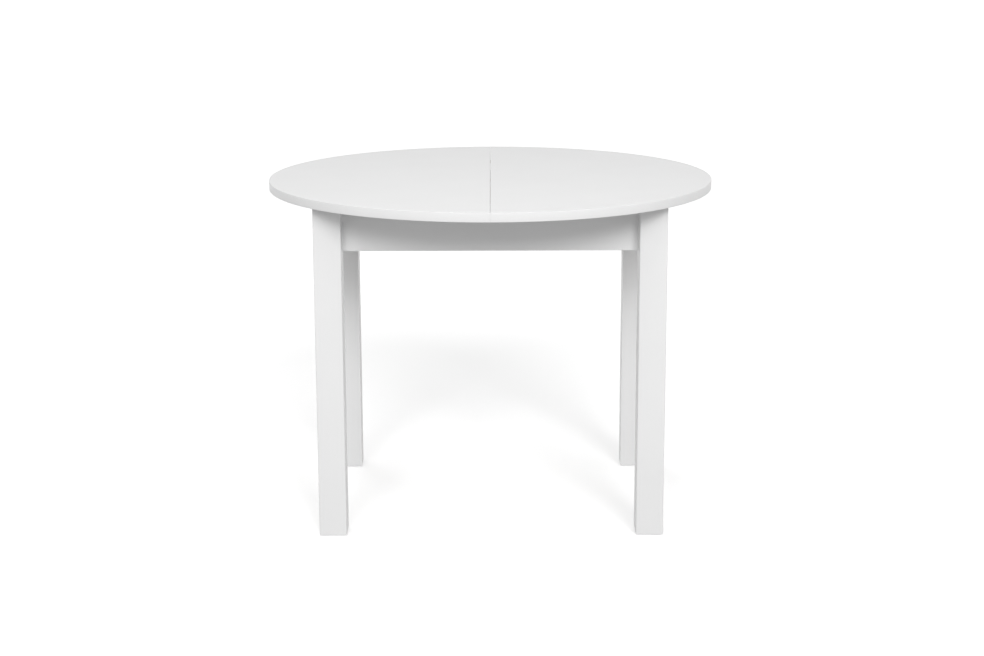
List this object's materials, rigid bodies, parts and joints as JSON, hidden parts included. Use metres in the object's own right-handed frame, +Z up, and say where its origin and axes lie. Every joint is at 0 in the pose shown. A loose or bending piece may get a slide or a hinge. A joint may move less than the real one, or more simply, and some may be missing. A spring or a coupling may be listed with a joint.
{
  "type": "round extending dining table",
  "caption": "White round dining table on four square legs; its two half-round leaves slide apart on ball slides for an insert.",
  "frame": {"origin": "on the floor, below the centre of the closed round top", "axes": "+Z up; +Y from the front to the rear along the seam; +X to the right, the way the right half pulls out"},
  "size_m": [0.9998, 1, 0.76],
  "materials": {
    "top_laminate": "white melamine laminate on chipboard, satin",
    "edge_band": "white ABS edge band, satin",
    "frame_lacquer": "white lacquer on board and solid wood, satin",
    "beech": "planed beech, unfinished",
    "grey_plastic": "moulded nylon",
    "pad_plastic": "slippery acetal, matt",
    "cage_plastic": "moulded, matt",
    "plated_steel": "bright zinc plate",
    "rail_steel": "rolled steel, zinc plate",
    "ball_steel": "polished",
    "screw_steel": "zinc plate"
  },
  "bodies": {
    "root": {"front_left_leg": "frame_lacquer", "front_right_leg": "frame_lacquer", "rear_left_leg": "frame_lacquer", "rear_right_leg": "frame_lacquer", "front_apron": "frame_lacquer", "rear_apron": "frame_lacquer", "left_apron": "frame_lacquer", "right_apron": "frame_lacquer", "centre_crossrail": "beech", "leg_glides": "grey_plastic", "apron_pads": "pad_plastic", "crossrail_brackets": "plated_steel", "front_left_bracket": "plated_steel", "front_right_bracket": "plated_steel", "rear_left_bracket": "plated_steel", "rear_right_bracket": "plated_steel", "hanger_bolts": "plated_steel", "bolt_washers": "plated_steel", "bolt_nuts": "plated_steel", "left_front_outer_rail": "rail_steel", "left_rear_outer_rail": "rail_steel", "right_front_outer_rail": "rail_steel", "right_rear_outer_rail": "rail_steel", "frame_screws": "screw_steel", "outer_rail_screws": "screw_steel"},
    "left_top": {"left_top_panel": "top_laminate", "left_edge_band": "edge_band", "left_seam_band": "edge_band", "seam_dowels": "beech", "left_front_runner": "beech", "left_rear_runner": "beech", "left_front_inner_rail": "rail_steel", "left_rear_inner_rail": "rail_steel", "left_runner_screws": "screw_steel", "front_lock_base": "plated_steel", "rear_lock_base": "plated_steel", "lock_rivets": "plated_steel", "lock_screws": "screw_steel"},
    "right_top": {"right_top_panel": "top_laminate", "right_edge_band": "edge_band", "right_seam_band": "edge_band", "seam_bushes": "grey_plastic", "right_front_runner": "beech", "right_rear_runner": "beech", "right_front_inner_rail": "rail_steel", "right_rear_inner_rail": "rail_steel", "right_runner_screws": "screw_steel", "front_lock_keeper": "plated_steel", "rear_lock_keeper": "plated_steel", "keeper_screws": "screw_steel"},
    "left_cages": {"left_front_cage": "cage_plastic", "left_rear_cage": "cage_plastic", "left_balls": "ball_steel"},
    "right_cages": {"right_front_cage": "cage_plastic", "right_rear_cage": "cage_plastic", "right_balls": "ball_steel"},
    "front_lever": {"front_lock_lever": "plated_steel"},
    "rear_lever": {"rear_lock_lever": "plated_steel"}
  },
  "joints": [
    {"name": "left_top_slide", "type": "slide", "parent": "root", "child": "left_top", "axis": [-1, 0, 0], "range_m": [0, 0.2]},
    {"name": "right_top_slide", "type": "slide", "parent": "root", "child": "right_top", "axis": [1, 0, 0], "range_m": [0, 0.2]},
    {"name": "left_cage_slide", "type": "slide", "parent": "root", "child": "left_cages", "axis": [-1, 0, 0], "range_m": [0, 0.1]},
    {"name": "right_cage_slide", "type": "slide", "parent": "root", "child": "right_cages", "axis": [1, 0, 0], "range_m": [0, 0.1]},
    {"name": "front_lock_swing", "type": "hinge", "parent": "left_top", "child": "front_lever", "pos_m": [-0.028, -0.12, 0.736], "axis": [0, 0, -1], "range_deg": [0, 90]},
    {"name": "rear_lock_swing", "type": "hinge", "parent": "left_top", "child": "rear_lever", "pos_m": [-0.028, 0.12, 0.736], "axis": [0, 0, 1], "range_deg": [0, 90]}
  ],
  "couplings": [
    {"joint": "left_cage_slide", "follows": "left_top_slide", "ratio": 0.5},
    {"joint": "right_cage_slide", "follows": "right_top_slide", "ratio": 0.5}
  ]
}
